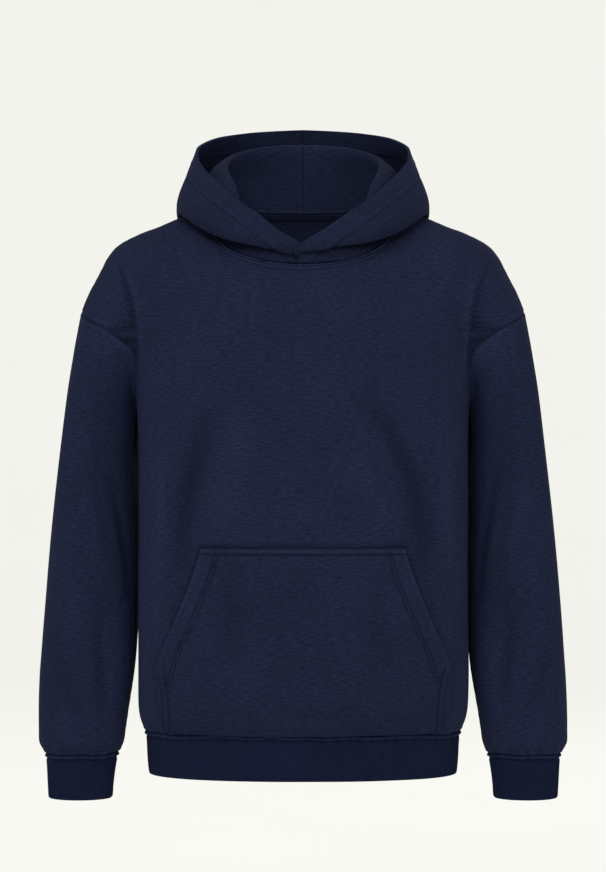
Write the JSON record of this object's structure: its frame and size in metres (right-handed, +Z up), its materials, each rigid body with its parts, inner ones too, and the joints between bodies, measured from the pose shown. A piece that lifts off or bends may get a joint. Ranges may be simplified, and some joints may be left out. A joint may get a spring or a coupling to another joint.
{
  "type": "pullover hoodie",
  "caption": "Navy fleece pullover hoodie, filled out and hollow, with its hood down and standing open, a front hand pocket, and ribbed cuffs and hem.",
  "frame": {"origin": "midway between the two points where the shoulder seams meet the neck, where the garment is held", "axes": "+Z up, the front faces -Y, +X is on the right of a viewer in front of it"},
  "size_m": [0.6518, 0.296, 0.8371],
  "materials": {
    "fleece": "matt brushed fleece, dark navy",
    "rib_knit": "matt rib knit, darker navy",
    "neck_tape": "matt woven tape, dark navy"
  },
  "bodies": {
    "root": {"front_panel": "fleece", "back_panel": "fleece", "hem_rib": "rib_knit", "pocket": "fleece", "neck_tape": "neck_tape", "sleeve_right": "fleece", "sleeve_left": "fleece", "cuff_right": "rib_knit", "cuff_left": "rib_knit", "hood_left": "fleece", "hood_right": "fleece"}
  },
  "joints": []
}
